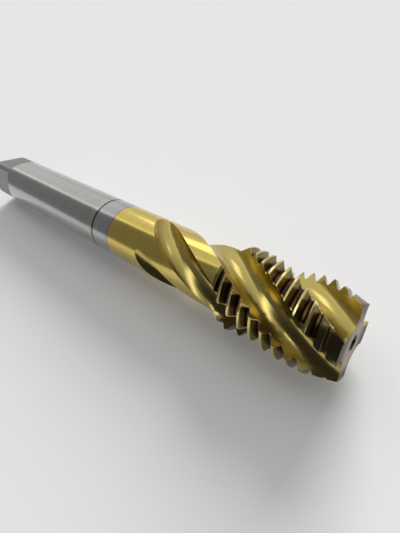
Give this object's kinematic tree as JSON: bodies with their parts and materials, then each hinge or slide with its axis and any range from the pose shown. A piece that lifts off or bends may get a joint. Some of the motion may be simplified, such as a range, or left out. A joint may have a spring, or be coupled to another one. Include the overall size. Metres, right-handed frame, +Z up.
{
  "type": "thread tap",
  "caption": "Spiral-flute machine tap with a plain round shank and driving square, for cutting internal right-hand metric threads.",
  "frame": {"origin": "on the table, below the middle of the tap as it lies at rest", "axes": "+X along the tap towards its cutting tip, +Z up from the table; the tap's own axis rises about 1.16 degrees towards the tip, in the XZ plane"},
  "size_m": [0.1252, 0.018, 0.0181],
  "materials": {
    "tool_steel": "ground; the threaded head has a gold titanium nitride coating over the same steel"
  },
  "bodies": {
    "root": {"thread_tap": "tool_steel"}
  },
  "joints": []
}
